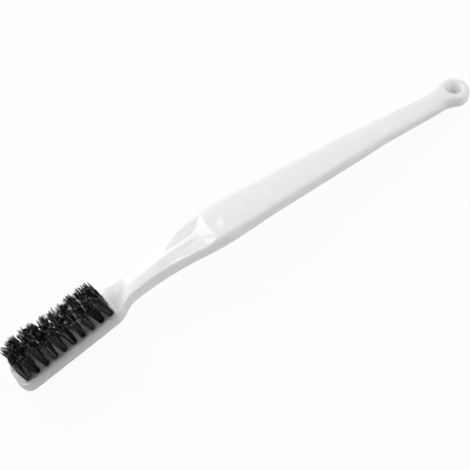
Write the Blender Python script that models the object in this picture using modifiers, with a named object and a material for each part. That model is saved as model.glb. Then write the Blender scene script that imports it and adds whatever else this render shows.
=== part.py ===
"""A small scratch brush of the toothbrush kind, with black bristles set in a white moulded handle.

The handle, from the head's tip to the hanging ring, is one plastic moulding. Each of the thirty tufts is a
bundle of nylon bristles folded over a flat metal anchor, which is driven with it into a blind hole.

Metres, +Z up. X runs from the head's tip to the ring and the handle is symmetric about the plane Y = 0. The
brush is modelled with its head level and is then set down bristles up, as it bridges on a table: on the back
edge of the head's tip and on the ring. The origin is below the middle of its box.
"""

import math
import random

import bmesh
import bpy
import numpy as np
from mathutils import Matrix

MM = 0.001

# Stations along the handle, measured on X from the head's tip while the head is level
HEAD_END = 38 * MM
NECK_START = 45.5 * MM
SCOOP_START = 57 * MM
SCOOP_END = 74 * MM
GRIP_END = 108 * MM
SHANK_END = 168 * MM
RING_X = 169.95 * MM

# Half width of the handle at stations along it
HALF_WIDTHS = (
    (0, 6.65 * MM),
    (36 * MM, 6.45 * MM),
    (39 * MM, 5.8 * MM),
    (41.5 * MM, 4.5 * MM),
    (44 * MM, 3.95 * MM),
    (47 * MM, 3.85 * MM),
    (51 * MM, 3.9 * MM),
    (58 * MM, 4.35 * MM),
    (66 * MM, 5.4 * MM),
    (74 * MM, 6.75 * MM),
    (82 * MM, 7.3 * MM),
    (88 * MM, 7.1 * MM),
    (96 * MM, 6.5 * MM),
    (120 * MM, 5.55 * MM),
    (130 * MM, 5.15 * MM),
    (140 * MM, 4.4 * MM),
    (158 * MM, 3.95 * MM),
    (SHANK_END, 3.5 * MM),
)

# Thickness of the handle, and how far it has turned down from the head, at stations along it
THICKNESSES = (
    (0, 4.5 * MM),
    (HEAD_END, 4.5 * MM),
    (NECK_START, 5.1 * MM),
    (60 * MM, 5.5 * MM),
    (80 * MM, 5.6 * MM),
    (120 * MM, 5.2 * MM),
    (150 * MM, 4.9 * MM),
    (160 * MM, 4.65 * MM),
    (SHANK_END, 4.15 * MM),
)
BENDS = ((50 * MM, 0), (57 * MM, 1.5), (64 * MM, 2.1), (92 * MM, 14.5), (125 * MM, 14.5), (RING_X, 20))
NECK_LIFT = 1.0 * MM

# Roundings of the handle. The top edge is measured across and down: it is steepest along the neck. At the
# thin tip the top and back edges together take no more than EDGES_SHARE of the height.
TIP_CORNER = 3.9 * MM
TIP_EDGE = 1.3 * MM
TOP_EDGE_HEAD = 1.3 * MM
TOP_EDGE_NECK = (0.75 * MM, 2.0 * MM)
TOP_EDGE_SHANK = 2.0 * MM
NECK_EDGE_SPAN = (36 * MM, 42 * MM)
SHANK_EDGE_SPAN = (67 * MM, 84 * MM)
BACK_EDGE_HEAD = 1.6 * MM
BACK_EDGE_SHANK = 1.9 * MM
EDGES_SHARE = 0.9

# The roof-shaped neck, the scoops beside its ridge and the thumb dimples behind them
RIDGE_HEIGHT = 0.75 * MM
RIDGE_END = 67 * MM
SCOOP_DEPTH = 0.75 * MM
SCOOP_FULL = 71 * MM
SCOOP_FADE = 5 * MM
SCOOP_END_SLANT = 6 * MM
DIMPLE_X = 79.3 * MM
DIMPLE_PITCH = 10.3 * MM
DIMPLE_COUNT = 3
DIMPLE_HALF_SIZE = (2.0 * MM, 3.5 * MM)
DIMPLE_DEPTH = 0.35 * MM

# Hanging ring. The end of the shank widens to it and rises to RING_SINK below its top.
RING_RADIUS = 5.28 * MM
RING_THICKNESS = 5.2 * MM
RING_EDGE = (1.86 * MM, 1.9 * MM)
RING_PROUD = 1.15 * MM
RING_HOLE_RADIUS = 2.1 * MM
RING_MOUTH = (1.27 * MM, 2.5 * MM)
RING_BACK_EDGE = 0.5 * MM
RING_SINK = 0.05 * MM
RISE_START = 161 * MM
RISE_END = 166.8 * MM
FILLET_START = 164.8 * MM
FILLET_RADIUS = 3 * MM
FILLET_REST = 1.0 * MM

# Tufts, their holes and anchors
ROWS = ("near", "middle", "far")
ROW_PITCH = 3.4 * MM
COLUMNS = 10
COLUMN_PITCH = 3.6 * MM
FIRST_COLUMN_X = 3.7 * MM
BRISTLE_LENGTH = 10.3 * MM
TRIM_SLOPE = 0.6 * MM
TUFT_RADIUS = 0.95 * MM
TUFT_SIDES = 9
INNER_STRAND_RADIUS = 0.39 * MM
STRAND_GAP = 0.06 * MM
TUFT_FLARE = 1.9
TUFT_LEAN = 0.5 * MM
STRAND_TAPER = 0.85
TIP_SCATTER = 0.06 * MM
LENGTH_SCATTER = 0.3 * MM
ROOT_TOP = -0.2 * MM
ROOT_BOTTOM = -3.5 * MM
HOLE_RADIUS = 1.05 * MM
HOLE_DEPTH = 3.65 * MM
ANCHOR_SIZE = (2.5 * MM, 0.35 * MM, 1.1 * MM)
ANCHOR_Z = -2.55 * MM
FIT_GAP = 0.1 * MM
SEED = 7


def clear_scene():
    for old in list(bpy.data.objects):
        bpy.data.objects.remove(old)


def new_collection(name, helper=False):
    collection = bpy.data.collections.new(name)
    bpy.context.scene.collection.children.link(collection)
    collection.hide_render = helper
    return collection


def material(name, colour, roughness, metallic=0.0):
    made = bpy.data.materials.new(name)
    made.use_nodes = True
    shader = made.node_tree.nodes["Principled BSDF"]
    shader.inputs["Base Color"].default_value = (*colour, 1)
    shader.inputs["Roughness"].default_value = roughness
    shader.inputs["Metallic"].default_value = metallic
    return made


def object_from_bmesh(name, bm, collection, finish=None, smooth=False):
    mesh = bpy.data.meshes.new(name)
    bm.to_mesh(mesh)
    bm.free()
    if smooth:
        mesh.shade_smooth()
        mesh.set_sharp_from_angle(angle=math.radians(35))
    if finish:
        mesh.materials.append(finish)
    made = bpy.data.objects.new(name, mesh)
    collection.objects.link(made)
    return made


def as_cutter(obj):
    obj.hide_render = True
    obj.display_type = "WIRE"
    return obj


def cylinder(name, radius, bottom, top, sides, collection):
    bm = bmesh.new()
    bmesh.ops.create_cone(
        bm, cap_ends=True, segments=sides, radius1=radius, radius2=radius, depth=top - bottom,
        matrix=Matrix.Translation((0, 0, (top + bottom) / 2)),
    )
    return object_from_bmesh(name, bm, collection)


def block(name, size, centre_z, collection, finish=None):
    bm = bmesh.new()
    place = Matrix.Translation((0, 0, centre_z)) @ Matrix.Diagonal((*size, 1))
    bmesh.ops.create_cube(bm, size=1, matrix=place)
    return object_from_bmesh(name, bm, collection, finish)


def turned(name, profile, steps, collection):
    """A profile of (radius, height) points, from its top down, turned about Z."""
    bm = bmesh.new()
    points = [bm.verts.new((radius, 0, height)) for radius, height in profile]
    for a, b in zip(points, points[1:]):
        bm.edges.new((a, b))
    made = object_from_bmesh(name, bm, collection)
    screw = made.modifiers.new("turn", "SCREW")
    screw.steps = screw.render_steps = steps
    screw.use_merge_vertices = True
    screw.merge_threshold = 0.01 * MM
    return made


def boolean(obj, operation, other):
    """Joins or cuts obj with an object, or with every object of a collection."""
    modifier = obj.modifiers.new(operation.lower(), "BOOLEAN")
    modifier.operation = operation
    modifier.solver = "EXACT"
    if isinstance(other, bpy.types.Collection):
        modifier.operand_type = "COLLECTION"
        modifier.collection = other
    else:
        modifier.object = other


def evaluated_mesh(obj):
    """A mesh of the object's own, with its modifiers applied."""
    bpy.context.view_layer.update()
    return bpy.data.meshes.new_from_object(obj.evaluated_get(bpy.context.evaluated_depsgraph_get()))


def eased(knots, at):
    """Monotone cubic curve through (station, value) knots."""
    x, y = np.array(knots, float).T
    slopes = np.diff(y) / np.diff(x)
    tangents = np.zeros_like(y)
    same_way = slopes[:-1] * slopes[1:] > 0
    before, after = slopes[:-1][same_way], slopes[1:][same_way]
    tangents[1:-1][same_way] = 2 * before * after / (before + after)
    tangents[0], tangents[-1] = slopes[0], slopes[-1]
    at = np.clip(at, x[0], x[-1])
    i = np.clip(np.searchsorted(x, at, "right") - 1, 0, len(x) - 2)
    width = x[i + 1] - x[i]
    t = (at - x[i]) / width
    return (
        y[i] * (1 + 2 * t) * (1 - t) ** 2 + y[i + 1] * t**2 * (3 - 2 * t)
        + width * (tangents[i] * t * (1 - t) ** 2 + tangents[i + 1] * t**2 * (t - 1))
    )


def ramp(at, start, end):
    """Rises smoothly from 0 at start to 1 at end."""
    t = np.clip((at - start) / (end - start), 0, 1)
    return t * t * (3 - 2 * t)


def quarter_round(at, radius):
    """How far a quarter round of this radius, which starts at 0, still stands in from the full size."""
    short = np.clip(radius - at, 0, radius)
    return radius - np.sqrt(radius**2 - short**2)


def centre_line(at):
    """Height of the handle's top and the angle it has turned down, at stations along X."""
    fine = np.linspace(0, RING_X, 1000)
    stations, degrees = np.array(BENDS).T
    turned_down = np.radians(np.interp(fine, stations, degrees))
    drop = np.concatenate([[0], np.cumsum(np.tan(turned_down[1:]) * np.diff(fine))])
    height = np.interp(at, fine, -drop) + NECK_LIFT * ramp(at, HEAD_END, NECK_START)
    return height, np.interp(at, fine, turned_down)


def handle_stations():
    tip = TIP_CORNER * (1 - np.cos(np.radians((0, 15, 30, 45, 60, 75, 90))))
    spans = (
        (TIP_CORNER, HEAD_END, 3),
        (HEAD_END, NECK_START, 6),
        (NECK_START, SCOOP_START, 4),
        (SCOOP_START, GRIP_END, 26),
        (GRIP_END, RISE_START, 10),
        (RISE_START, SHANK_END, 8),
    )
    return np.concatenate([tip] + [np.linspace(start, end, steps + 1)[1:] for start, end, steps in spans])


def top_relief(station, across):
    """
    Height of the ridge and depth of the scoops, at a share of the way from the middle to the edge. A scoop is
    deepest next to the ridge and ends in a slanting wall, so that the ridge widens into the grip.
    """
    ridge = RIDGE_HEIGHT * ramp(station, HEAD_END, NECK_START) * (1 - ramp(station, SCOOP_START, RIDGE_END))
    end = SCOOP_END + SCOOP_END_SLANT * across
    scoop = SCOOP_DEPTH * ramp(station, SCOOP_START, SCOOP_FULL) * (1 - ramp(station, end - SCOOP_FADE, end))
    return ridge * (1 - across) - scoop * np.sin(np.pi * across**0.6) ** 2


def handle_section(station):
    """
    Outline of the handle square to its path: (across, up) points, round from the middle of its top.

    Before the ring the sides flare out in a fillet and the top rises to just below the ring's. At the tip the
    roundings of the edges are cut down to the height that is left for them.
    """
    half = eased(HALF_WIDTHS, station) - quarter_round(station, TIP_CORNER)
    half += quarter_round(max(FILLET_START + FILLET_RADIUS - station, FILLET_REST), FILLET_RADIUS)
    rise = (RING_PROUD - RING_SINK) * ramp(station, RISE_START, RISE_END)
    top = rise - quarter_round(station, TIP_EDGE)
    back = quarter_round(station, TIP_EDGE) - eased(THICKNESSES, station)
    neck = ramp(station, *NECK_EDGE_SPAN)
    shank = ramp(station, *SHANK_EDGE_SPAN)
    edge_across, edge_down = (
        TOP_EDGE_HEAD + (size - TOP_EDGE_HEAD) * neck + (TOP_EDGE_SHANK - size) * shank
        for size in TOP_EDGE_NECK
    )
    back_edge = BACK_EDGE_HEAD + (BACK_EDGE_SHANK - BACK_EDGE_HEAD) * ramp(station, HEAD_END, NECK_START)
    room = min(1, EDGES_SHARE * (top - back) / (edge_down + back_edge))
    edge_across, edge_down, back_edge = edge_across * room, edge_down * room, back_edge * room
    across = np.linspace(0, 1, 5)
    points = [(share * (half - edge_across), top + top_relief(station, share)) for share in across]
    for angle in np.radians((72, 54, 30, 0)):
        points.append((half - edge_across * (1 - math.cos(angle)), top - edge_down * (1 - math.sin(angle))))
    for angle in np.radians((0, 30, 60, 90)):
        points.append((half - back_edge * (1 - math.cos(angle)), back + back_edge * (1 - math.sin(angle))))
    points += [((half - back_edge) / 2, back), (0, back)]
    other_side = [(-y, z) for y, z in points[-2:0:-1]]
    return np.array(points + other_side)


def make_shank(collection, finish):
    """The handle but for its ring: a loft of sections along the bent path, capped at both ends."""
    bm = bmesh.new()
    rings = []
    stations = handle_stations()
    for station, height, angle in zip(stations, *centre_line(stations)):
        rings.append([
            bm.verts.new((station + up * math.sin(angle), side, height + up * math.cos(angle)))
            for side, up in handle_section(station)
        ])
    for ring, following in zip(rings, rings[1:]):
        for i in range(len(ring)):
            j = (i + 1) % len(ring)
            bm.faces.new((ring[i], following[i], following[j], ring[j]))
    bm.faces.new(rings[0])
    bm.faces.new(rings[-1])
    bmesh.ops.recalc_face_normals(bm, faces=bm.faces)
    return object_from_bmesh("handle", bm, collection, finish, smooth=True)


def arc(centre, size, start, end, steps):
    """Points of an elliptic rounding of a profile with half axes size, from one angle to another."""
    return [
        (centre[0] + size[0] * math.cos(a), centre[1] + size[1] * math.sin(a))
        for a in np.radians(np.linspace(start, end, steps + 1))
    ]


def make_ring_disc(collection):
    half = RING_THICKNESS / 2
    inner, level = RING_RADIUS - RING_EDGE[0], half - RING_EDGE[1]
    profile = [(0, half)] + arc((inner, level), RING_EDGE, 90, 0, 5)
    profile += arc((inner, -level), RING_EDGE, 0, -90, 5) + [(0, -half)]
    return turned("ring_disc", profile, 32, collection)


def make_ring_hole(collection):
    """The through hole: its upper mouth is wide and rounded like a dish, its lower one has a small edge."""
    half = RING_THICKNESS / 2
    beyond = half + 1 * MM
    mouth, foot = RING_HOLE_RADIUS + RING_MOUTH[0], RING_HOLE_RADIUS + RING_BACK_EDGE
    profile = [(0, beyond), (mouth, beyond)]
    profile += arc((mouth, half - RING_MOUTH[1]), (-RING_MOUTH[0], RING_MOUTH[1]), 90, 0, 5)
    profile += arc((foot, RING_BACK_EDGE - half), (-RING_BACK_EDGE, RING_BACK_EDGE), 0, -90, 3)
    profile += [(foot, -beyond), (0, -beyond)]
    return turned("ring_hole", profile, 32, collection)


def make_dimple(index, collection):
    """A shallow oval thumb dimple: the cap of a large ball, narrowed lengthways, cut into the top of the grip."""
    half_length, half_width = DIMPLE_HALF_SIZE
    ball = (half_width**2 + DIMPLE_DEPTH**2) / (2 * DIMPLE_DEPTH)
    station = DIMPLE_X + index * DIMPLE_PITCH
    height, angle = centre_line(station)
    above = ball - DIMPLE_DEPTH
    bm = bmesh.new()
    narrowed = Matrix.Diagonal((half_length / half_width, 1, 1, 1))
    bmesh.ops.create_uvsphere(bm, u_segments=32, v_segments=32, radius=ball, matrix=narrowed)
    made = object_from_bmesh(f"dimple_{index + 1}", bm, collection)
    made.location = (station + above * math.sin(angle), 0, height + above * math.cos(angle))
    made.rotation_euler.y = angle
    return made


def tuft_places():
    """(row name, column number, x, y) of each tuft on the head's face."""
    for row, row_name in enumerate(ROWS):
        for column in range(COLUMNS):
            yield row_name, column + 1, FIRST_COLUMN_X + column * COLUMN_PITCH, (row - 1) * ROW_PITCH


def make_tuft_holes(collection):
    """A blind hole for each tuft, with a pocket on both sides for the ends of its anchor."""
    pocket_size = [side + 2 * FIT_GAP for side in ANCHOR_SIZE]
    for row_name, column, x, y in tuft_places():
        hole = cylinder(f"hole_{row_name}_{column:02}", HOLE_RADIUS, -HOLE_DEPTH, 1 * MM, 12, collection)
        pocket = block(f"pocket_{row_name}_{column:02}", pocket_size, ANCHOR_Z, collection)
        for cutter in (hole, pocket):
            cutter.location = (x, y, 0)
            as_cutter(cutter)


def make_handle(parts, cutters, finish):
    handle = make_shank(parts, finish)
    height, angle = centre_line(RING_X)
    below = RING_THICKNESS / 2 - RING_PROUD
    disc = make_ring_disc(cutters)
    boolean(handle, "UNION", disc)
    cuts = new_collection("handle_cuts", helper=True)
    hole = make_ring_hole(cuts)
    for turned_piece in (disc, hole):
        turned_piece.location = (RING_X - below * math.sin(angle), 0, height - below * math.cos(angle))
        turned_piece.rotation_euler.y = angle
        as_cutter(turned_piece)
    for index in range(DIMPLE_COUNT):
        as_cutter(make_dimple(index, cuts))
    make_tuft_holes(cuts)
    boolean(handle, "DIFFERENCE", cuts)
    return handle


def root_mesh(cutters, with_anchor):
    """The packed root of a tuft: a plug with a channel for its anchor, or with the anchor in it."""
    root = as_cutter(cylinder("root", TUFT_RADIUS, ROOT_BOTTOM, ROOT_TOP, TUFT_SIDES, cutters))
    if with_anchor:
        through = block("root_anchor", ANCHOR_SIZE, ANCHOR_Z, cutters)
        boolean(root, "UNION", through)
    else:
        channel = [ANCHOR_SIZE[0] + 2 * FIT_GAP] + [side + 2 * FIT_GAP for side in ANCHOR_SIZE[1:]]
        through = block("root_channel", channel, ANCHOR_Z, cutters)
        boolean(root, "DIFFERENCE", through)
    as_cutter(through)
    return evaluated_mesh(root)


def strand_cells(bm):
    """Parts the root's flat top into three-sided cells: one in the middle and twelve round it."""
    top = max(bm.faces, key=lambda face: face.calc_center_median().z)
    rim = list(top.verts)
    bmesh.ops.delete(bm, geom=[top], context="FACES_ONLY")
    third = TUFT_SIDES // 3
    inner = []
    for k in range(3):
        a, b = (rim[(k * third + third // 2 + side) % TUFT_SIDES].co for side in (0, 1))
        direction = math.atan2(a.y + b.y, a.x + b.x)
        x, y = INNER_STRAND_RADIUS * math.cos(direction), INNER_STRAND_RADIUS * math.sin(direction)
        inner.append(bm.verts.new((x, y, ROOT_TOP)))
    cells = [bm.faces.new(inner)]
    for k in range(3):
        for i in range(third):
            a, b = rim[k * third + i], rim[(k * third + i + 1) % TUFT_SIDES]
            cells.append(bm.faces.new((a, b, inner[k])))
        cells.append(bm.faces.new((inner[k], rim[(k + 1) * third % TUFT_SIDES], inner[(k + 1) % 3])))
    return cells


def make_tuft(name, root, share, parts, finish, rng):
    """
    A bundle of straight strands that grow from the root's top and spread towards their tips.

    share is 0 for the first column and 1 for the last, which leans most to the head's tip and is trimmed most.
    """
    bm = bmesh.new()
    bm.from_mesh(root)
    cells = strand_cells(bm)
    bmesh.ops.inset_individual(bm, faces=cells, thickness=STRAND_GAP, use_even_offset=True)
    strands = bmesh.ops.extrude_discrete_faces(bm, faces=cells)["faces"]
    for strand in strands:
        centre = strand.calc_center_median()
        tip = centre * TUFT_FLARE
        tip.x += rng.uniform(-TIP_SCATTER, TIP_SCATTER) - TUFT_LEAN * share
        tip.y += rng.uniform(-TIP_SCATTER, TIP_SCATTER)
        tip.z = BRISTLE_LENGTH - TRIM_SLOPE * share - rng.uniform(0, LENGTH_SCATTER)
        for vert in strand.verts:
            vert.co = tip + (vert.co - centre) * STRAND_TAPER
    bmesh.ops.recalc_face_normals(bm, faces=bm.faces)
    return object_from_bmesh(name, bm, parts, finish)


def make_tufts_and_anchors(parts, cutters, bristle, metal):
    """Thirty tufts and their anchors. The last tuft holds its anchor in its own solid."""
    rng = random.Random(SEED)
    places = list(tuft_places())
    plain_root = root_mesh(cutters, with_anchor=False)
    last_root = root_mesh(cutters, with_anchor=True)
    made = []
    for place in places:
        row_name, column, x, y = place
        last = place == places[-1]
        root = last_root if last else plain_root
        share = (column - 1) / (COLUMNS - 1)
        pieces = [make_tuft(f"tuft_{row_name}_{column:02}", root, share, parts, bristle, rng)]
        if not last:
            pieces.append(block(f"anchor_{row_name}_{column:02}", ANCHOR_SIZE, ANCHOR_Z, parts, metal))
        for piece in pieces:
            piece.location = (x, y, 0)
        made += pieces
    return made


def points_of(obj):
    """The evaluated points of an object, moved by its own location."""
    mesh = evaluated_mesh(obj)
    flat = np.empty(len(mesh.vertices) * 3)
    mesh.vertices.foreach_get("co", flat)
    return flat.reshape(-1, 3) + np.array(obj.location)


def tilted(points, tilt):
    x, y, z = points.T
    cos, sin = math.cos(tilt), math.sin(tilt)
    return np.stack([x * cos + z * sin, y, z * cos - x * sin], axis=1)


def resting_tilt(points):
    """The turn about Y that brings the head's lowest point and the ring's to one level."""
    tilt = 0.0
    for _ in range(20):
        head = tilted(points[points[:, 0] < HEAD_END], tilt)
        ring = tilted(points[points[:, 0] > SHANK_END - RING_RADIUS], tilt)
        run, rise = (ring[ring[:, 2].argmin()] - head[head[:, 2].argmin()])[[0, 2]]
        tilt += math.atan2(rise, run)
    return tilt


def set_down(parts, handle, others):
    """Parents pieces and cutters to one empty, which tilts the brush to its rest and centres it."""
    handle_points = points_of(handle)
    tilt = resting_tilt(handle_points)
    everything = tilted(np.concatenate([handle_points] + [points_of(piece) for piece in others]), tilt)
    low, high = everything.min(axis=0), everything.max(axis=0)
    pieces_and_cutters = list(bpy.data.objects)
    brush = bpy.data.objects.new("brush", None)
    parts.objects.link(brush)
    for piece in pieces_and_cutters:
        piece.parent = brush
    brush.rotation_euler.y = tilt
    brush.location = (-(low[0] + high[0]) / 2, -(low[1] + high[1]) / 2, -low[2])


def main():
    clear_scene()
    parts = new_collection("scratch_brush")
    cutters = new_collection("helpers", helper=True)
    white = material("white moulded polypropylene", (0.82, 0.82, 0.83), 0.28)
    black = material("black nylon bristle", (0.012, 0.012, 0.013), 0.45)
    metal = material("brass anchor strip", (0.78, 0.57, 0.28), 0.35, metallic=1.0)
    handle = make_handle(parts, cutters, white)
    others = make_tufts_and_anchors(parts, cutters, black, metal)
    set_down(parts, handle, others)


main()
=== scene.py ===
import bpy
import numpy as np
from mathutils import Euler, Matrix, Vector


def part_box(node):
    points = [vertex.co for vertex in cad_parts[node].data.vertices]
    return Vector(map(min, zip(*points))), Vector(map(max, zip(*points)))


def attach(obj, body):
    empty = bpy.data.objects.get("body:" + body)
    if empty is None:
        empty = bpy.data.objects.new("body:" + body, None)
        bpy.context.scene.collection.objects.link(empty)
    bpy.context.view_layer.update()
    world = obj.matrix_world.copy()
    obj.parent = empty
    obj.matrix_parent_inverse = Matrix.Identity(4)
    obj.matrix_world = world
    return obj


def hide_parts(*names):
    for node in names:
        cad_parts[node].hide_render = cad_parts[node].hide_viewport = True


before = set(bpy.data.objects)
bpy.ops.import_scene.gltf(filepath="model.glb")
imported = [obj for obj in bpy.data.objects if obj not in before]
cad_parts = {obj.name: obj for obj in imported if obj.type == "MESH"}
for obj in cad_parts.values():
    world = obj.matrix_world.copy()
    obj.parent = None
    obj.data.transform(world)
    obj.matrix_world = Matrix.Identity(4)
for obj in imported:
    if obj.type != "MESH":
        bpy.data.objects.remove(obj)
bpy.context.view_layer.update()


# The place of the brush. It lies bristles up and bridges on the back edge of the head's tip and on its ring.
# All sizes below are in mm on the brush with its head level: x from the tip to the ring, y across and to the
# far side, z up from the face that the bristles stand on. The anchors of the middle row show how it lies.

MM = 0.001
ANCHOR_HEIGHT = -2.55
COLUMN_PITCH = 3.6
FIRST_COLUMN_X = 3.7
COLUMNS = 10


def middle(node):
    """Middle of the box of a CAD node."""
    return np.array([list(corner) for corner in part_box(node)]).mean(axis=0)


first_anchor, last_anchor = middle("anchor_middle_01"), middle("anchor_middle_10")
lengthways = (last_anchor - first_anchor) / np.linalg.norm(last_anchor - first_anchor)
crossways = np.array([0.0, 1.0, 0.0])
upright = np.cross(lengthways, crossways)
tip_face = first_anchor - MM * (FIRST_COLUMN_X * lengthways + ANCHOR_HEIGHT * upright)


def laid(points):
    """Points in mm on the level brush as metres on the resting one: the tip's face plus a step each way."""
    return tip_face + MM * (np.asarray(points, float) @ np.stack([lengthways, crossways, upright]))


# Camera. It stands over the near side of the head and looks down at about 54 degrees, turned so that the
# handle runs up to the right, which is how the brush was photographed.

camera_data = bpy.data.cameras.new("camera")
camera_data.sensor_width = 36
camera_data.lens = 107.23
camera = bpy.data.objects.new("camera", camera_data)
camera.location = (-0.08267, -0.25157, 0.37011)
camera.rotation_euler = Euler(np.radians((34.1513, 10.9534, -32.7774)))
bpy.context.scene.collection.objects.link(camera)
bpy.context.scene.camera = camera


# Handle: head, neck, thumb grip, shank and hanging ring are one injection moulding in white polypropylene.
# A loft of closed sections along the bent path is joined to a turned ring, and the holes that the tufts are
# driven into are drilled in the head afterwards.

HEAD_END = 38.0
NECK_START = 45.5
SHANK_END = 168.0
RING_X = 169.95
RING_START = 164.8
RING_PROUD = 1.15
RING_SINK = 0.03
RING_RISE = (RING_START - 3.8, RING_START + 2)
HALF_WIDTHS = (
    (0, 6.65), (36, 6.45), (39, 5.8), (41.5, 4.5), (44, 3.95), (47, 3.85), (51, 3.9), (58, 4.35), (66, 5.4),
    (74, 6.75), (82, 7.3), (88, 7.1), (96, 6.5), (120, 5.55), (130, 5.15), (140, 4.4), (158, 3.95),
    (SHANK_END, 3.5),
)
THICKNESSES = (
    (0, 4.5), (HEAD_END, 4.5), (NECK_START, 5.1), (60, 5.5), (80, 5.6), (120, 5.2), (150, 4.9), (160, 4.65),
    (SHANK_END, 4.15),
)
BENDS = ((50, 0), (57, 1.5), (64, 2.1), (92, 14.5), (125, 14.5), (RING_X, 20))
NECK_LIFT = 1.0

# Roundings. The top edge is measured across and down, and the neck's is the steepest.
TIP_CORNER = 3.9
TIP_EDGE = 1.3
HEAD_EDGE = 1.3
NECK_EDGE = (0.55, 1.9)
SHANK_EDGE = 2.0
NECK_EDGE_SPAN = (36, 42)
SHANK_EDGE_SPAN = (67, 84)
BACK_EDGE = 1.6
BACK_EDGE_GROWTH = 0.3
EDGES_SHARE = 0.9
FLARE = 3

# Start, end and number of steps of each stretch of sections, which stand closest where the relief is
STRETCHES = (
    (TIP_CORNER, 36, 40), (36, 50, 40), (50, 56, 12), (56, 82, 104), (82, 106, 80), (106, SHANK_END, 60),
)

# The roof-shaped neck, the ridge and the hollows that it ends in, the thumb dimples and the ejector's mark
ROOF_HEIGHT = 0.75
ROOF_FADE = (55, 68)
CREST_ROUNDING = 0.6
RIDGE_SINK = 0.42
RIDGE_SINK_SPAN = (60, 73)
WALL_SLOPE = 0.115
WALL_END = 76.9
WALL_ROUNDING = 0.06
RIDGE_HALF_WIDTH = 0.3
RIDGE_FADE = (3.5, 0.3)
RIDGE_FADE_SHARE = 0.6
TRIANGLE_START = 71.5
TRIANGLE_LENGTH = 6
TRIANGLE_FLARE = 0.7
HOLLOW_DEPTH = 0.28
HOLLOW_START = (56, 68)
HOLLOW_END = (73, 78.5)
HOLLOW_SIDE = 1.2
FAR_RISE = (0.8, 2.7)
NEAR_LIP = (1.6, 0.8)
CROWN = 0.2
CROWN_SPAN = (72, 84)
DIMPLES_X = (79.3, 89.6, 99.9)
DIMPLES_Y = -0.4
DIMPLE_HALF_SIZE = (2.5, 3.4)
DIMPLE_DEPTH = 0.22
MARK = (42.2, 2.0)
MARK_HALF_SIZE = (1.3, 0.75)
MARK_DEPTH = 0.12

# The hanging ring, turned about its axis: its outside is rounded from a crest near the hole, the upper mouth
# of the hole is wide and rounded like a dish, and the lower one has a small edge.
RING_RADIUS = 5.28
RING_HALF_THICKNESS = 2.6
RING_EDGE = 1.9
RING_BELOW_TOP = 1.45
CREST_RADIUS = 3.42
HOLE_RADIUS = 2.1
MOUTH_HEIGHT = 2.8
MOUTH_FOOT = -0.2
LOWER_EDGE = 0.5
LOWER_EDGE_TOP = -2.1
CUTTER_REACH = 3.4
AXIS_GAP = 0.05

# The holes of the tufts, and the pockets for the ends of the anchors
ROWS = {"near": -3.4, "middle": 0.0, "far": 3.4}
TUFT_HOLE_RADIUS = 1.1
TUFT_HOLE_DEPTH = 3.65
POCKET_SIZE = (2.7, 0.55, 1.3)


def through(knots, at):
    """
    Monotone cubic curve through (station, value) knots. The tangent at an inner knot is the harmonic mean of
    the slopes on its two sides, or 0 where they differ in sign.
    """
    x, y = np.array(knots, float).T
    slopes = np.diff(y) / np.diff(x)
    tangents = np.zeros_like(y)
    same_way = slopes[:-1] * slopes[1:] > 0
    before, after = slopes[:-1][same_way], slopes[1:][same_way]
    tangents[1:-1][same_way] = 2 * before * after / (before + after)
    tangents[0], tangents[-1] = slopes[0], slopes[-1]
    at = np.clip(at, x[0], x[-1])
    i = np.clip(np.searchsorted(x, at, "right") - 1, 0, len(x) - 2)
    width = x[i + 1] - x[i]
    t = (at - x[i]) / width
    ends = y[i] * (1 + 2 * t) * (1 - t) ** 2 + y[i + 1] * t**2 * (3 - 2 * t)
    return ends + width * (tangents[i] * t * (1 - t) ** 2 + tangents[i + 1] * t**2 * (t - 1))


def ramp(at, start, end):
    """0 before start, 1 after end and 3t^2 - 2t^3 between them."""
    t = np.clip((at - start) / (end - start), 0, 1)
    return t * t * (3 - 2 * t)


def rounding(at, radius):
    """How far a quarter round that starts at 0 stands in from its full size: r - sqrt(r^2 - (r - at)^2)."""
    short = np.clip(radius - at, 0, radius)
    return radius - np.sqrt(radius**2 - short**2)


def path(at):
    """Height of the handle's top, as the sum of the tangents of its bend on the way there, and the bend."""
    fine = np.linspace(0, RING_X, 4000)
    stations, degrees = np.array(BENDS, float).T
    bend = np.radians(np.interp(fine, stations, degrees))
    drop = np.concatenate([[0], np.cumsum(np.tan(bend[1:]) * np.diff(fine))])
    height = np.interp(at, fine, -drop) + NECK_LIFT * ramp(at, HEAD_END, NECK_START)
    return height, np.interp(at, fine, bend)


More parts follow.
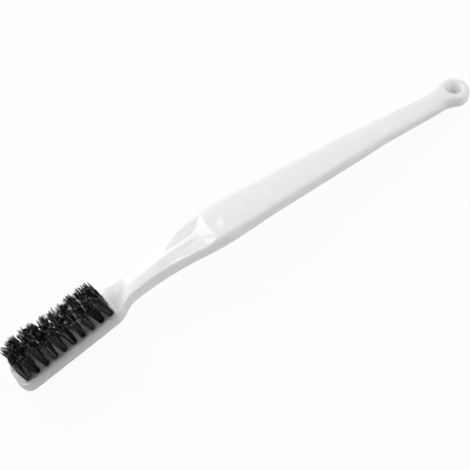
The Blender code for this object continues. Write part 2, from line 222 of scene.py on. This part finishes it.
def relief(x, y, half):
    """
    Height of the top over its plain level. The neck is a roof that falls evenly from a rounded crest. The
    ridge that follows lies at the smaller of two depths: a sink, which grows along it, and a wall, which
    runs out at the grip, so it ends in a level triangle. Its depth fades towards the far edge. Beside it are
    two hollows: the far one rises again next to the ridge, and the near one is flat up to a thin lip. From
    there on the top is crowned: it falls by the square of the way to its edge. A dimple is (1 - d^2)^1.5
    deep at a share d of the way out to its oval rim, and the ejector's mark is 1 - d^2 deep.
    """
    off = np.abs(y)
    fall, full_fall = (np.hypot(way, CREST_ROUNDING) - CREST_ROUNDING for way in (off, half))
    roof = ramp(x, HEAD_END, NECK_START) * (1 - ramp(x, *ROOF_FADE)) * (1 - np.clip(fall / full_fall, 0, 1))

    sink, wall = RIDGE_SINK * ramp(x, *RIDGE_SINK_SPAN), WALL_SLOPE * (WALL_END - x)
    ridge_depth = np.clip((sink + wall - np.hypot(sink - wall, WALL_ROUNDING)) / 2, 0, None)
    edge = RIDGE_HALF_WIDTH + TRIANGLE_FLARE * np.clip(x - TRIANGLE_START, 0, TRIANGLE_LENGTH)
    along = ramp(x, *HOLLOW_START) * (1 - ramp(x, *HOLLOW_END))
    far_rise = ramp(off, edge + FAR_RISE[0], edge + FAR_RISE[1])
    near_lip = ramp(off, half - NEAR_LIP[0], half - NEAR_LIP[1])
    hollow = HOLLOW_DEPTH * along * ramp(off, edge, edge + HOLLOW_SIDE)
    hollow = hollow * (1 - np.where(y > 0, far_rise, near_lip))
    faded = RIDGE_FADE_SHARE * ramp(y, half - RIDGE_FADE[0], half - RIDGE_FADE[1])
    hollow = hollow + ridge_depth * (1 - faded)

    crown = CROWN * ramp(x, *CROWN_SPAN) * (y / half) ** 2
    dents = 0
    for dimple_x in DIMPLES_X:
        out = ((x - dimple_x) / DIMPLE_HALF_SIZE[0]) ** 2 + ((y - DIMPLES_Y) / DIMPLE_HALF_SIZE[1]) ** 2
        dents = dents + DIMPLE_DEPTH * np.clip(1 - out, 0, 1) ** 1.5
    out = ((x - MARK[0]) / MARK_HALF_SIZE[0]) ** 2 + ((y - MARK[1]) / MARK_HALF_SIZE[1]) ** 2
    return ROOF_HEIGHT * roof - hollow - crown - dents - MARK_DEPTH * np.clip(1 - out, 0, 1)


def shank_grid():
    """
    Closed sections along the handle. Each goes round from the middle of the top: level to the top edge,
    round it, down the side, round the back edge and back to the middle, then the same on the near side.
    A point s along, y across and h up in a section at bend b lies at (s + h sin b, y, height + h cos b).
    """
    tip = TIP_CORNER * (1 - np.cos(np.radians(np.linspace(0, 90, 22))))
    s = np.concatenate([tip] + [np.linspace(a, b, n + 1)[1:] for a, b, n in STRETCHES])[:, None]
    flare = rounding(np.clip(RING_START + FLARE - s, 1, FLARE), FLARE)
    half = through(HALF_WIDTHS, s) - rounding(s, TIP_CORNER) + flare
    top = (RING_PROUD - RING_SINK) * ramp(s, *RING_RISE) - rounding(s, TIP_EDGE)
    back = rounding(s, TIP_EDGE) - through(THICKNESSES, s)
    neck, shank = ramp(s, *NECK_EDGE_SPAN), ramp(s, *SHANK_EDGE_SPAN)
    edge_across, edge_down = (
        HEAD_EDGE + (size - HEAD_EDGE) * neck + (SHANK_EDGE - size) * shank for size in NECK_EDGE
    )
    back_edge = BACK_EDGE + BACK_EDGE_GROWTH * ramp(s, HEAD_END, NECK_START)
    room = np.minimum(1, EDGES_SHARE * (top - back) / (edge_down + back_edge))
    edge_across, edge_down, back_edge = edge_across * room, edge_down * room, back_edge * room
    share = np.linspace(0, 1, 41)
    turn = np.radians(90 * np.linspace(0, 1, 13) ** 1.4)
    flat = share * (half - edge_across)
    y = [
        flat,
        half - edge_across * (1 - np.sin(turn[1:])),
        half - back_edge * (1 - np.cos(turn)),
        (half - back_edge) * (1 - share[::5][1:]),
    ]
    sides = []
    for sign in (1, -1):
        lip = top + relief(s, sign * (half - edge_across), half)
        sides.append(np.concatenate([
            top + relief(s, sign * flat, half),
            lip - edge_down * (1 - np.cos(turn[1:])),
            back + back_edge * (1 - np.sin(turn)),
            np.repeat(back, 8, axis=1),
        ], axis=1))
    y = np.concatenate(y, axis=1)
    y = np.concatenate([y, -y[:, -2:0:-1]], axis=1)
    h = np.concatenate([sides[0], sides[1][:, -2:0:-1]], axis=1)
    height, bend = path(s)
    return np.stack([s + h * np.sin(bend), y, height + h * np.cos(bend)], axis=-1)


def turned(profile, centre, bend, steps=96):
    """Surface of a profile of (radius, height) points turned about an axis that leans by the bend."""
    radius, height = np.array(profile, float).T
    angle = np.linspace(0, 2 * np.pi, steps, endpoint=False)
    x, y = radius[:, None] * np.cos(angle), radius[:, None] * np.sin(angle)
    z = np.repeat(height[:, None], steps, axis=1)
    lean = np.stack([x * np.cos(bend) + z * np.sin(bend), y, z * np.cos(bend) - x * np.sin(bend)], axis=-1)
    return lean + centre


def skin(name, grids):
    """Mesh of grids of closed loops of points, joined in order, with each grid's end loops filled."""
    points, faces, used = [], [], 0
    for grid in grids:
        rows, around = grid.shape[:2]
        index = np.arange(rows * around).reshape(rows, around) + used
        onward = np.roll(index, -1, axis=1)
        quads = np.stack([index[:-1], onward[:-1], onward[1:], index[1:]], axis=-1).reshape(-1, 4)
        a, b, c, d = (laid(grid).reshape(-1, 3)[quads[:, k] - used] for k in range(4))
        outward = np.einsum("ij,ij->", (a + b + c + d) / 4, np.cross(c - a, d - b)) > 0
        ends = [index[0], index[-1][::-1]]
        faces += quads.tolist() if outward else quads[:, ::-1].tolist()
        faces += [end[::-1].tolist() if outward else end.tolist() for end in ends]
        points.append(laid(grid).reshape(-1, 3))
        used += rows * around
    mesh = bpy.data.meshes.new(name)
    mesh.from_pydata(np.concatenate(points), [], faces)
    made = bpy.data.objects.new(name, mesh)
    bpy.context.scene.collection.objects.link(made)
    return made


def quarter(across, up, start, end, centre, steps=14):
    """Points of a quarter of an ellipse of a profile, by angles in degrees above level."""
    a = np.radians(np.linspace(start, end, steps + 1))
    return list(zip(centre[0] + across * np.cos(a), centre[1] + up * np.sin(a)))


ring_height, ring_bend = path(RING_X)
ring_centre = np.array(
    [RING_X - RING_BELOW_TOP * np.sin(ring_bend), 0, ring_height - RING_BELOW_TOP * np.cos(ring_bend)]
)
outer, inner = RING_RADIUS - CREST_RADIUS, CREST_RADIUS - HOLE_RADIUS
level = RING_HALF_THICKNESS - RING_EDGE
foot_radius = HOLE_RADIUS + LOWER_EDGE
disc = [(AXIS_GAP, RING_HALF_THICKNESS)] + quarter(outer, RING_EDGE, 90, 0, (CREST_RADIUS, level))
disc += quarter(outer, RING_EDGE, 0, -90, (CREST_RADIUS, -level)) + [(AXIS_GAP, -RING_HALF_THICKNESS)]
bore = [(AXIS_GAP, CUTTER_REACH), (CREST_RADIUS, CUTTER_REACH)]
bore += quarter(-inner, MOUTH_HEIGHT, 90, 0, (CREST_RADIUS, MOUTH_FOOT))
bore += quarter(-LOWER_EDGE, LOWER_EDGE, 0, -90, (foot_radius, LOWER_EDGE_TOP), 6)
bore += [(foot_radius, -CUTTER_REACH), (AXIS_GAP, -CUTTER_REACH)]


def straight(x, y, radius, bottom, top, sides=24):
    """An upright post of round section between two heights, as two closed loops."""
    angle = np.linspace(0, 2 * np.pi, sides, endpoint=False)
    ring = np.stack([x + radius * np.cos(angle), y + radius * np.sin(angle)], axis=-1)
    return np.stack([np.column_stack([ring, np.full(sides, z)]) for z in (bottom, top)])


def bar(x, y, size, centre_z):
    """An upright bar of rectangular section, as two closed loops of four points."""
    corners = np.array([(-1, -1), (1, -1), (1, 1), (-1, 1)]) * np.array(size[:2]) / 2 + (x, y)
    levels = (centre_z - size[2] / 2, centre_z + size[2] / 2)
    return np.stack([np.column_stack([corners, np.full(4, z)]) for z in levels])


places = {
    (row, column): (FIRST_COLUMN_X + (column - 1) * COLUMN_PITCH, y)
    for row, y in ROWS.items() for column in range(1, COLUMNS + 1)
}
handle = skin("handle_moulding", [shank_grid()])
ring = skin("ring", [turned(disc, ring_centre, ring_bend)])
ring_bore = skin("ring_bore", [turned(bore, ring_centre, ring_bend)])
holes = skin("holes", [straight(x, y, TUFT_HOLE_RADIUS, -TUFT_HOLE_DEPTH, 1) for x, y in places.values()])
pockets = skin("pockets", [bar(x, y, POCKET_SIZE, ANCHOR_HEIGHT) for x, y in places.values()])
for operation, tool in (
    ("UNION", ring), ("DIFFERENCE", ring_bore), ("DIFFERENCE", holes), ("DIFFERENCE", pockets),
):
    cut = handle.modifiers.new(tool.name, "BOOLEAN")
    cut.operation = operation
    cut.solver = "EXACT"
    cut.object = tool
bpy.context.view_layer.update()
handle.data = bpy.data.meshes.new_from_object(handle.evaluated_get(bpy.context.evaluated_depsgraph_get()))
handle.modifiers.clear()
for tool in (ring, ring_bore, holes, pockets):
    bpy.data.objects.remove(tool)
handle.data.shade_smooth()
handle.data.set_sharp_from_angle(angle=np.radians(38))


def linear(colour):
    """An sRGB hex colour as linear red, green, blue and alpha."""
    parts = np.array([int(colour[k:k + 2], 16) for k in (1, 3, 5)]) / 255
    return (*np.where(parts <= 0.04045, parts / 12.92, ((parts + 0.055) / 1.055) ** 2.4).tolist(), 1.0)


def node(material, kind, settings=(), links=(), **attributes):
    """Adds a node, sets its attributes and its inputs, and links other nodes' outputs to its inputs."""
    made = material.node_tree.nodes.new(kind)
    for name, value in attributes.items():
        setattr(made, name, value)
    for name, value in dict(settings).items():
        made.inputs[name].default_value = value
    for name, output in dict(links).items():
        material.node_tree.links.new(output, made.inputs[name])
    return made


# White polypropylene, injection moulded in a polished tool: milky, with a soft gloss, faint flow shades from
# the melt and a slight waviness that breaks up its reflections.
white = bpy.data.materials.new("white moulded polypropylene")
white.use_nodes = True
plastic = white.node_tree.nodes["Principled BSDF"]
plastic.inputs["Roughness"].default_value = 0.22
plastic.inputs["IOR"].default_value = 1.49
plastic.inputs["Subsurface Weight"].default_value = 0.85
plastic.inputs["Subsurface Radius"].default_value = (1.0, 1.0, 1.0)
plastic.inputs["Subsurface Scale"].default_value = 0.006
place = node(white, "ShaderNodeTexCoord").outputs["Object"]
flow = node(white, "ShaderNodeTexNoise", {"Scale": 60, "Detail": 3, "Roughness": 0.5}, {"Vector": place})
shade = node(
    white, "ShaderNodeMix", {"A": linear("#F3F2F8"), "B": linear("#F9F8FC")},
    {"Factor": flow.outputs["Fac"]}, data_type="RGBA",
)
white.node_tree.links.new(shade.outputs["Result"], plastic.inputs["Base Color"])
waviness = node(white, "ShaderNodeTexNoise", {"Scale": 450, "Detail": 2}, {"Vector": place})
skin_bump = node(
    white, "ShaderNodeBump", {"Strength": 0.25, "Distance": 0.00004}, {"Height": waviness.outputs["Fac"]},
)
white.node_tree.links.new(skin_bump.outputs["Normal"], plastic.inputs["Normal"])
handle.data.materials.clear()
handle.data.materials.append(white)
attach(handle, "root")
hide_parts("handle")


# Tufts: bundles of stiff black nylon bristles, folded over an anchor and driven into the head's holes. They
# stand tight at the base, spread as they rise and are trimmed level, so that their tips almost meet. Those
# near the neck lean a little to the tip.

STRANDS = 52
STRAND_RADIUS = 0.14
BUNDLE_RADIUS = 0.93
TIP_SPREAD = 1.15
LENGTHS = (9.8, 10.8, 10.8, 10.6, 10.1, 9.6, 9.5, 9.6, 9.7, 9.7)
LENGTH = 10.3
LEVELS = np.array([-3.4, -1.7, -0.3, 1.2, 3.0, 5.2, 7.7, LENGTH])
SPIRAL_ANGLE = 2.39996
TIP_LEAN = 0.85
NECK_LEAN = -1.15
MIDDLE_LEAN = -0.3
CLUMPS = 4
STRAY_SHARE = 0.1


def bundle(x, y, column, rng):
    """
    Strands of one tuft as tubes of five sides, as an array of strand, level, side and axis. They start on a
    sunflower spiral and part round the anchor below the face. Above it a strand's way out from the middle
    grows with the height, by TIP_SPREAD at the tips. The leans of the whole tuft, of its clumps and of each
    strand are added and grow evenly with the height, the last three times as far for a stray strand. Each
    strand is bowed by half a sine wave.
    """
    i = np.arange(STRANDS)
    turn = i * SPIRAL_ANGLE + rng.uniform(0, 2 * np.pi)
    start = BUNDLE_RADIUS * np.sqrt((i + 0.5) / STRANDS)
    base = start[:, None] * np.stack([np.cos(turn), np.sin(turn)], axis=-1)
    length = LENGTHS[column - 1] + rng.normal(0, 0.15) - 0.6 * rng.uniform(0, 1, STRANDS) ** 1.5
    rise = np.clip(LEVELS / LENGTH, 0, None)
    clump = (turn % (2 * np.pi) / (2 * np.pi / CLUMPS)).astype(int) % CLUMPS
    inward = {1: TIP_LEAN, COLUMNS: NECK_LEAN}.get(column, MIDDLE_LEAN * (column - 1) / (COLUMNS - 1))
    lean = np.array([inward, 0]) + rng.normal(0, (0.15, 0.2), 2) + rng.normal(0, 0.2, (CLUMPS, 2))[clump]
    lean += rng.normal(0, 0.17, (STRANDS, 2)) * np.where(rng.uniform(0, 1, (STRANDS, 1)) < STRAY_SHARE, 3, 1)
    bow = rng.normal(0, 0.1, (STRANDS, 2))
    centre = base[:, None] * (1 + TIP_SPREAD * rise)[:, None]
    centre += lean[:, None] * rise[:, None] + bow[:, None] * np.sin(np.pi * rise)[:, None]
    sunk = ramp(-LEVELS, 0.3, 1.7)
    centre[..., 1] += sunk * np.where(base[:, 1:] < 0, -1, 1) * (0.3 - 0.25 * np.abs(base[:, 1:]))
    z = np.where(LEVELS > 0, LEVELS * length[:, None] / LENGTH, LEVELS)
    around = np.linspace(0, 2 * np.pi, 5, endpoint=False) + rng.uniform(0, 2 * np.pi, STRANDS)[:, None]
    ring = STRAND_RADIUS * np.stack([np.cos(around), np.sin(around)], axis=-1)
    sides = centre[:, :, None] + ring[:, None] + (x, y)
    return np.concatenate([sides, np.broadcast_to(z[:, :, None, None], (*sides.shape[:3], 1))], axis=-1)


def tuft(name, strands, rng):
    """Mesh of a tuft's strands, each closed at both ends and with a number from 0 to 1 of its own."""
    count, levels, sides = strands.shape[:3]
    index = np.arange(count * levels * sides).reshape(count, levels, sides)
    onward = np.roll(index, -1, axis=2)
    quads = np.stack([index[:, :-1], onward[:, :-1], onward[:, 1:], index[:, 1:]], axis=-1).reshape(-1, 4)
    ends = np.concatenate([index[:, 0, ::-1], index[:, -1]])
    mesh = bpy.data.meshes.new(name)
    mesh.from_pydata(laid(strands).reshape(-1, 3), [], quads.tolist() + ends.tolist())
    mesh.shade_smooth()
    mesh.set_sharp_from_angle(angle=np.radians(80))
    own = np.repeat(rng.uniform(0, 1, count), levels * sides)
    strand = mesh.attributes.new("strand", "FLOAT", "POINT")
    strand.data.foreach_set("value", own.astype(np.float32))
    made = bpy.data.objects.new(name, mesh)
    bpy.context.scene.collection.objects.link(made)
    return made


# Black nylon, drawn through a die and cut: each strand has a satin sheen along it. Most are near black. The
# few whose own number is near 1 are shinier, and are also given a greyer base colour. That colour is painted
# sheen: it stands in for the highlights along those strands.
black = bpy.data.materials.new("black drawn nylon")
black.use_nodes = True
nylon = black.node_tree.nodes["Principled BSDF"]
nylon.inputs["IOR"].default_value = 1.53
own = node(black, "ShaderNodeAttribute", attribute_name="strand").outputs["Fac"]
rare = node(black, "ShaderNodeMath", {1: 4.0}, {0: own}, operation="POWER")
# Painted sheen: the rare strands get a grey base colour in place of their highlights, on top of the real
# extra gloss set below.
strand_painted_sheen = node(
    black, "ShaderNodeMix", {"A": linear("#070708"), "B": linear("#6E6E73")},
    {"Factor": rare.outputs[0]}, data_type="RGBA",
)
black.node_tree.links.new(strand_painted_sheen.outputs["Result"], nylon.inputs["Base Color"])
strand_gloss = node(black, "ShaderNodeMapRange", {"To Min": 0.3, "To Max": 0.5}, {"Value": own})
black.node_tree.links.new(strand_gloss.outputs["Result"], nylon.inputs["Roughness"])
strand_sheen = node(black, "ShaderNodeMapRange", {"To Min": 0.04, "To Max": 0.8}, {"Value": rare.outputs[0]})
black.node_tree.links.new(strand_sheen.outputs["Result"], nylon.inputs["Specular IOR Level"])

for number, ((row, column), (x, y)) in enumerate(places.items()):
    rng = np.random.default_rng(100 + number)
    bristles = tuft(f"bristles_{row}_{column:02}", bundle(x, y, column, rng), rng)
    bristles.data.materials.append(black)
    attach(bristles, "root")
    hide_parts(f"tuft_{row}_{column:02}")


# Anchors: short strips sheared from brass tape, driven across each hole to hold the fold of the tuft. They
# keep the frame's own solids, and get the dull drag marks that shearing leaves along the strip.

brass = bpy.data.materials.new("sheared brass strip")
brass.use_nodes = True
strip = brass.node_tree.nodes["Principled BSDF"]
strip.inputs["Metallic"].default_value = 1.0
place = node(brass, "ShaderNodeTexCoord").outputs["Object"]
drawn_out = node(brass, "ShaderNodeMapping", {"Scale": (300, 6000, 6000)}, {"Vector": place})
drag = node(brass, "ShaderNodeTexNoise", {"Scale": 1, "Detail": 2}, {"Vector": drawn_out.outputs["Vector"]})
tone = node(
    brass, "ShaderNodeMix", {"A": linear("#C79E55"), "B": linear("#DDBB74")},
    {"Factor": drag.outputs["Fac"]}, data_type="RGBA",
)
brass.node_tree.links.new(tone.outputs["Result"], strip.inputs["Base Color"])
dullness = node(brass, "ShaderNodeMapRange", {"To Min": 0.25, "To Max": 0.5}, {"Value": drag.outputs["Fac"]})
brass.node_tree.links.new(dullness.outputs["Result"], strip.inputs["Roughness"])
for name, cad_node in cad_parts.items():
    if name.startswith("anchor_"):
        cad_node.data.materials.clear()
        cad_node.data.materials.append(brass)


# Studio: a plain pale floor that looks white to the camera and keeps a faint shadow, a white surround that
# lights nothing, and six soft lamps. The far ones light the top and give its highlights, and the near ones
# lift the side.

FLOOR_HALF = 3.0
FLOOR_WHITE = 0.94
floor_mesh = bpy.data.meshes.new("floor")
corners = [(FLOOR_HALF * x, FLOOR_HALF * y, 0) for x, y in ((-1, -1), (1, -1), (1, 1), (-1, 1))]
floor_mesh.from_pydata(corners, [], [(0, 1, 2, 3)])
floor = bpy.data.objects.new("floor", floor_mesh)
bpy.context.scene.collection.objects.link(floor)
paper = bpy.data.materials.new("white paper floor")
paper.use_nodes = True
sheet = paper.node_tree.nodes["Principled BSDF"]
sheet.inputs["Base Color"].default_value = linear("#F2F2F2")
sheet.inputs["Roughness"].default_value = 0.9
sheet.inputs["Specular IOR Level"].default_value = 0.1


def seen(owner):
    """1 for camera, glossy and transmission rays, and 0 for the light that falls on the object."""
    rays = node(owner, "ShaderNodeLightPath").outputs
    first = {0: rays["Is Camera Ray"], 1: rays["Is Glossy Ray"]}
    either = node(owner, "ShaderNodeMath", (), first, operation="MAXIMUM").outputs[0]
    second = {0: either, 1: rays["Is Transmission Ray"]}
    return node(owner, "ShaderNodeMath", (), second, operation="MAXIMUM").outputs[0]


glow = node(paper, "ShaderNodeEmission", {"Color": (1, 1, 1, 1), "Strength": 1.0})
pale = node(paper, "ShaderNodeMixShader", {0: FLOOR_WHITE}, {1: sheet.outputs[0], 2: glow.outputs[0]})
looks = {0: seen(paper), 1: sheet.outputs[0], 2: pale.outputs[0]}
paper_look = node(paper, "ShaderNodeMixShader", (), looks)
paper_output = paper.node_tree.nodes["Material Output"]
paper.node_tree.links.new(paper_look.outputs[0], paper_output.inputs["Surface"])
floor_mesh.materials.append(paper)

world = bpy.data.worlds.new("white surround")
world.use_nodes = True
bpy.context.scene.world = world
ambient = world.node_tree.nodes["Background"]
ambient.inputs["Color"].default_value = (1, 1, 1, 1)
ambient.inputs["Strength"].default_value = 0.0
backdrop = node(world, "ShaderNodeBackground", {"Color": (1, 1, 1, 1), "Strength": 1.0})
looks = {0: seen(world), 1: ambient.outputs[0], 2: backdrop.outputs[0]}
surround = node(world, "ShaderNodeMixShader", (), looks)
world.node_tree.links.new(surround.outputs[0], world.node_tree.nodes["World Output"].inputs["Surface"])


def softbox(name, azimuth, elevation, distance, size, power):
    """A square area lamp that faces the origin, placed by its azimuth, from +X to +Y, and elevation."""
    lamp = bpy.data.lights.new(name, "AREA")
    lamp.size = size
    lamp.energy = power
    a, e = np.radians((azimuth, elevation))
    made = bpy.data.objects.new(name, lamp)
    back = np.array([np.cos(a) * np.cos(e), np.sin(a) * np.cos(e), np.sin(e)])
    made.location = back * distance
    made.rotation_euler = Euler((np.pi / 2 - e, 0, a + np.pi / 2))
    bpy.context.scene.collection.objects.link(made)


# Azimuth and elevation in degrees, distance and size in metres, power in watts
softbox("far_left_softbox", 150, 60, 1.0, 0.5, 3.6)
softbox("far_softbox", 103, 48, 1.0, 0.3, 2.18)
softbox("far_low_softbox", 90, 35, 1.0, 0.3, 2.18)
softbox("right_softbox", 0, 60, 1.0, 0.5, 2.07)
softbox("near_fill_softbox", 315, 35, 1.0, 0.5, 1.2)
softbox("near_low_softbox", 315, 12, 1.0, 0.5, 1.96)

bpy.context.scene.view_settings.view_transform = "Standard"
